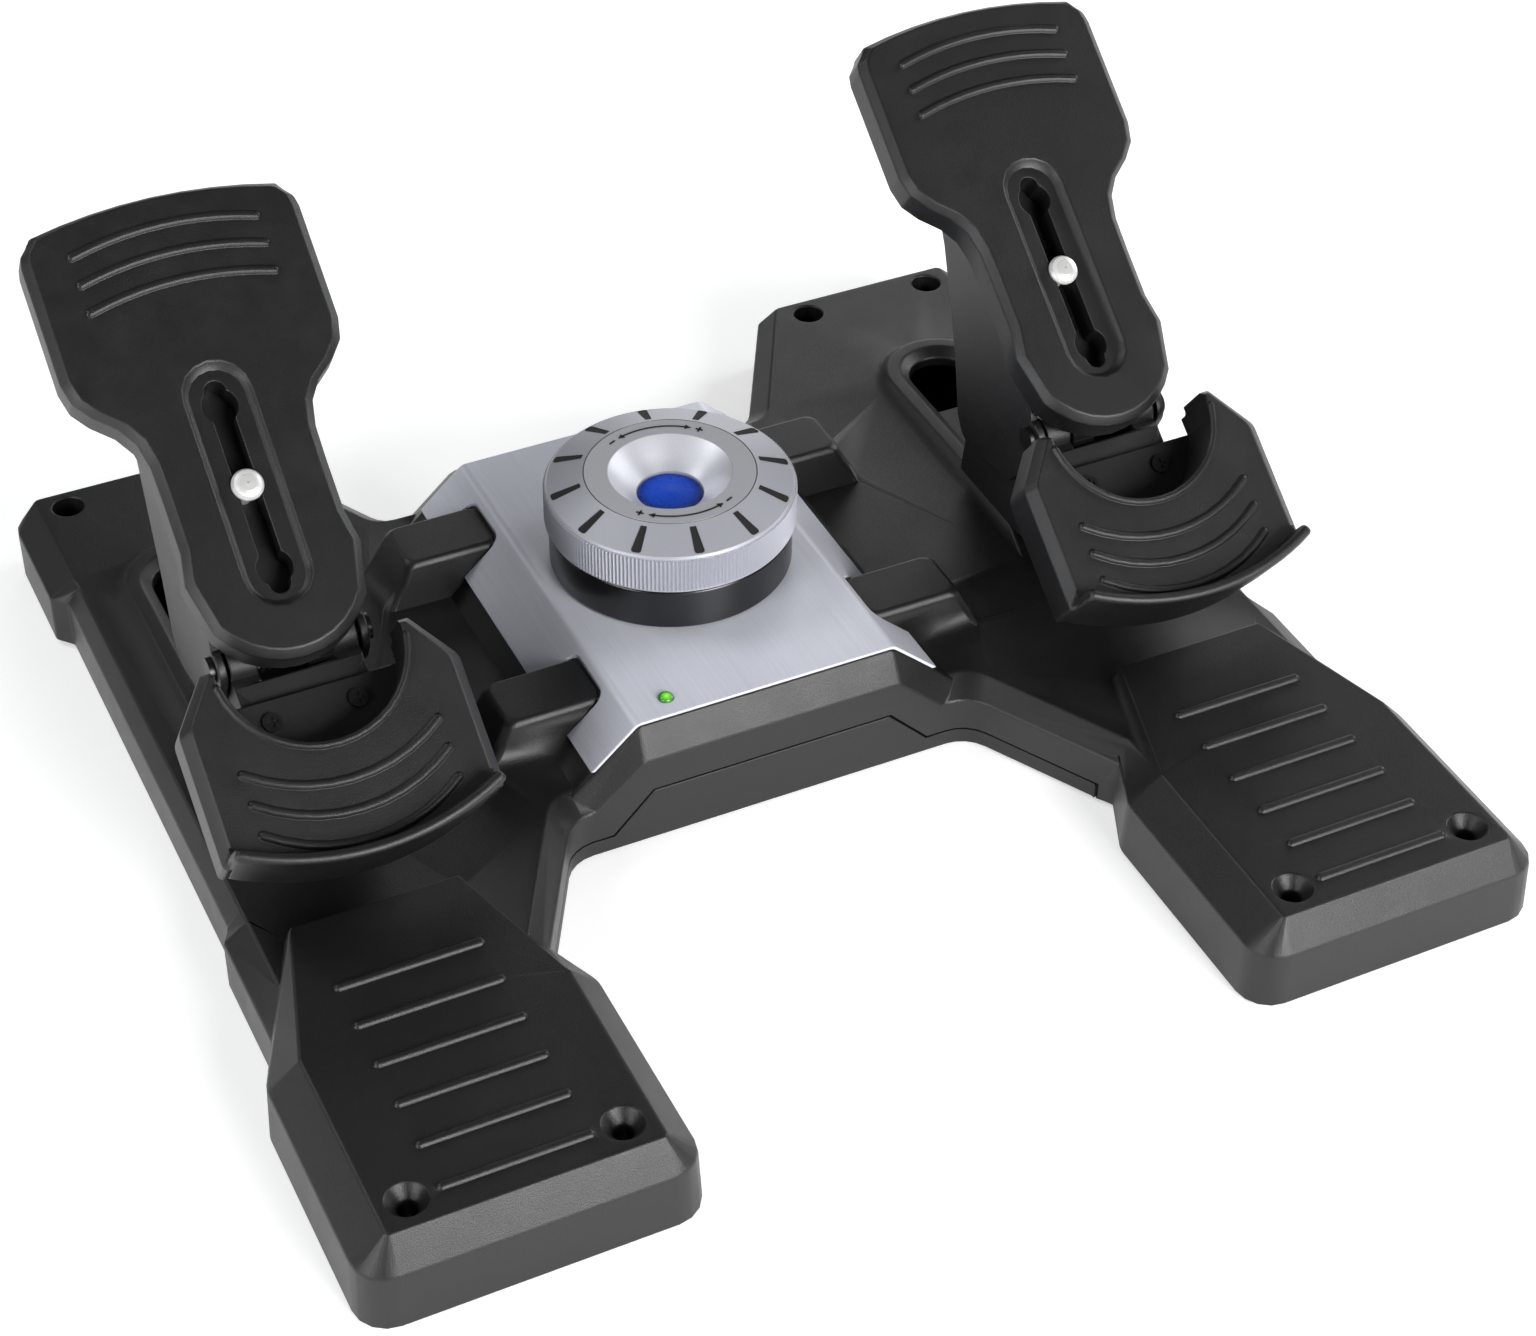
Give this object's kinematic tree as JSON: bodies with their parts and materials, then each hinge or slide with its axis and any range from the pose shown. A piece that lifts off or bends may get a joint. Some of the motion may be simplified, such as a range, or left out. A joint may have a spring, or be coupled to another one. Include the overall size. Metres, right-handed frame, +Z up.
{
  "type": "flight simulator rudder pedals",
  "caption": "Flight simulator rudder pedals: a wide black moulded base with heel plates, sliding pedals with toe brakes and heel cups, and a silver tension knob.",
  "frame": {"origin": "middle of the footprint, at the underside of the rubber feet", "axes": "+X to the user's right, +Y away from the user, +Z up"},
  "size_m": [0.43, 0.412, 0.199],
  "materials": {
    "black_shell": "fine texture",
    "black_tray": "fine texture",
    "silver_sheet": "satin",
    "black_gloss": "satin",
    "lamp_green": "clear green",
    "board_green": "solder mask",
    "zinc_steel": "plated",
    "spring_steel": "bright",
    "rubber": "matt",
    "silver_plastic": "silver paint",
    "blue_cap": "gloss",
    "white_bolt": "satin",
    "black_steel": "black oxide"
  },
  "bodies": {
    "base": {"bottom_tray": "black_tray", "top_shell": "black_shell", "silver_cover": "silver_sheet", "knob_collar": "black_gloss", "lamp_lens": "lamp_green", "circuit_board": "board_green", "rudder_sensor": "black_gloss", "sensor_bracket": "zinc_steel", "centring_spring": "spring_steel", "pivot_clip": "spring_steel", "cable_gland": "rubber", "shell_screws": "black_steel", "rubber_feet": "rubber", "drag_pad": "rubber", "tension_spring": "spring_steel"},
    "knob": {"tension_knob": "silver_plastic", "knob_cap": "blue_cap", "knob_spindle": "zinc_steel"},
    "nut": {"tension_nut": "zinc_steel"},
    "front_arm": {"front_link_arm": "zinc_steel", "front_link_pins": "zinc_steel"},
    "rear_arm": {"rear_link_arm": "zinc_steel", "rear_link_pins": "zinc_steel"},
    "left_pedal": {"left_carriage": "black_tray", "left_pedestal": "black_tray", "left_slot_shield": "black_gloss", "left_heel_cup": "black_shell", "left_cup_screws": "black_steel", "left_hinge_pin": "black_steel", "left_brake_sensor": "black_gloss", "left_return_spring": "spring_steel"},
    "left_lever": {"left_brake_lever": "black_shell", "left_clamp_bolt": "white_bolt", "left_clamp_nut": "zinc_steel"},
    "left_toe": {"left_toe_plate": "black_shell"},
    "right_pedal": {"right_carriage": "black_tray", "right_pedestal": "black_tray", "right_slot_shield": "black_gloss", "right_heel_cup": "black_shell", "right_cup_screws": "black_steel", "right_hinge_pin": "black_steel", "right_brake_sensor": "black_gloss", "right_return_spring": "spring_steel"},
    "right_lever": {"right_brake_lever": "black_shell", "right_clamp_bolt": "white_bolt", "right_clamp_nut": "zinc_steel"},
    "right_toe": {"right_toe_plate": "black_shell"}
  },
  "joints": [
    {"name": "rudder_swing", "type": "hinge", "parent": "base", "child": "front_arm", "pos_m": [0, -0.0015, 0.014], "axis": [0, 0, 1], "range_deg": [-16, 16], "stiffness_Nm_per_rad": 2},
    {"name": "rear_arm_swing", "type": "hinge", "parent": "base", "child": "rear_arm", "pos_m": [0, 0.096, 0.014], "axis": [0, 0, 1], "range_deg": [-16, 16]},
    {"name": "knob_turn", "type": "hinge", "parent": "base", "child": "knob", "pos_m": [0, 0.0456, 0.07], "axis": [0, 0, 1], "range_deg": [-135, 135]},
    {"name": "nut_travel", "type": "slide", "parent": "base", "child": "nut", "axis": [0, 0, 1], "range_m": [-0.00227, 0.00227], "deforming": ["tension_spring"]},
    {"name": "left_pedal_swing", "type": "hinge", "parent": "front_arm", "child": "left_pedal", "pos_m": [-0.16, -0.0015, 0.018], "axis": [0, 0, 1], "range_deg": [-16, 16]},
    {"name": "left_toe_brake", "type": "hinge", "parent": "left_pedal", "child": "left_lever", "pos_m": [-0.156, 0.01145, 0.08598], "axis": [-1, 0, 0], "range_deg": [0, 12], "stiffness_Nm_per_rad": 3, "springref_deg": -17.19},
    {"name": "left_toe_slide", "type": "slide", "parent": "left_lever", "child": "left_toe", "axis": [0, 0.7986, 0.6018], "range_m": [-0.016, 0.016]},
    {"name": "right_pedal_swing", "type": "hinge", "parent": "front_arm", "child": "right_pedal", "pos_m": [0.16, -0.0015, 0.018], "axis": [0, 0, 1], "range_deg": [-16, 16]},
    {"name": "right_toe_brake", "type": "hinge", "parent": "right_pedal", "child": "right_lever", "pos_m": [0.156, 0.01145, 0.08598], "axis": [-1, 0, 0], "range_deg": [0, 12], "stiffness_Nm_per_rad": 3, "springref_deg": -17.19},
    {"name": "right_toe_slide", "type": "slide", "parent": "right_lever", "child": "right_toe", "axis": [0, 0.7986, 0.6018], "range_m": [-0.016, 0.016]}
  ],
  "couplings": [
    {"joint": "rear_arm_swing", "follows": "rudder_swing", "ratio": 1},
    {"joint": "nut_travel", "follows": "knob_turn", "m_per_rad": 0.000955},
    {"joint": "left_pedal_swing", "follows": "rudder_swing", "ratio": -1},
    {"joint": "right_pedal_swing", "follows": "rudder_swing", "ratio": -1}
  ]
}
